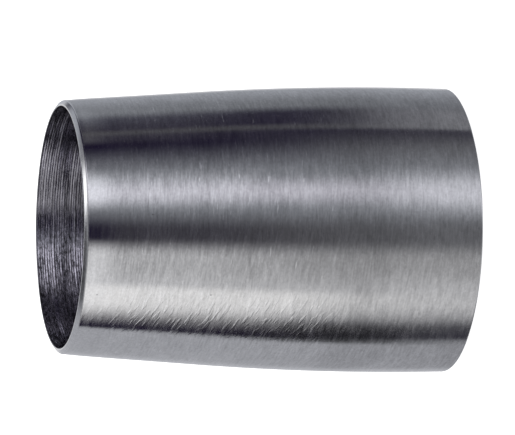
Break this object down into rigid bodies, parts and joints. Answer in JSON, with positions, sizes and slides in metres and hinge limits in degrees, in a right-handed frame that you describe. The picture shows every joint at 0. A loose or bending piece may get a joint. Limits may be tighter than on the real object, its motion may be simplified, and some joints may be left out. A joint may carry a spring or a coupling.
{
  "type": "concentric reducer",
  "caption": "Straight tapered pipe fitting that joins a pipe to a slightly smaller one on the same axis, open right through, with both ends bevelled for welding.",
  "frame": {"origin": "centre of the large end's face, on which the part stands", "axes": "+Z along the passage, from the large end to the small end; X and Y are any two directions across it"},
  "size_m": [0.0484, 0.0484, 0.0665],
  "materials": {
    "brushed_stainless": "brushed around the axis with short fine strokes, bore left as turned"
  },
  "bodies": {
    "root": {"reducer_body": "brushed_stainless"}
  },
  "joints": []
}
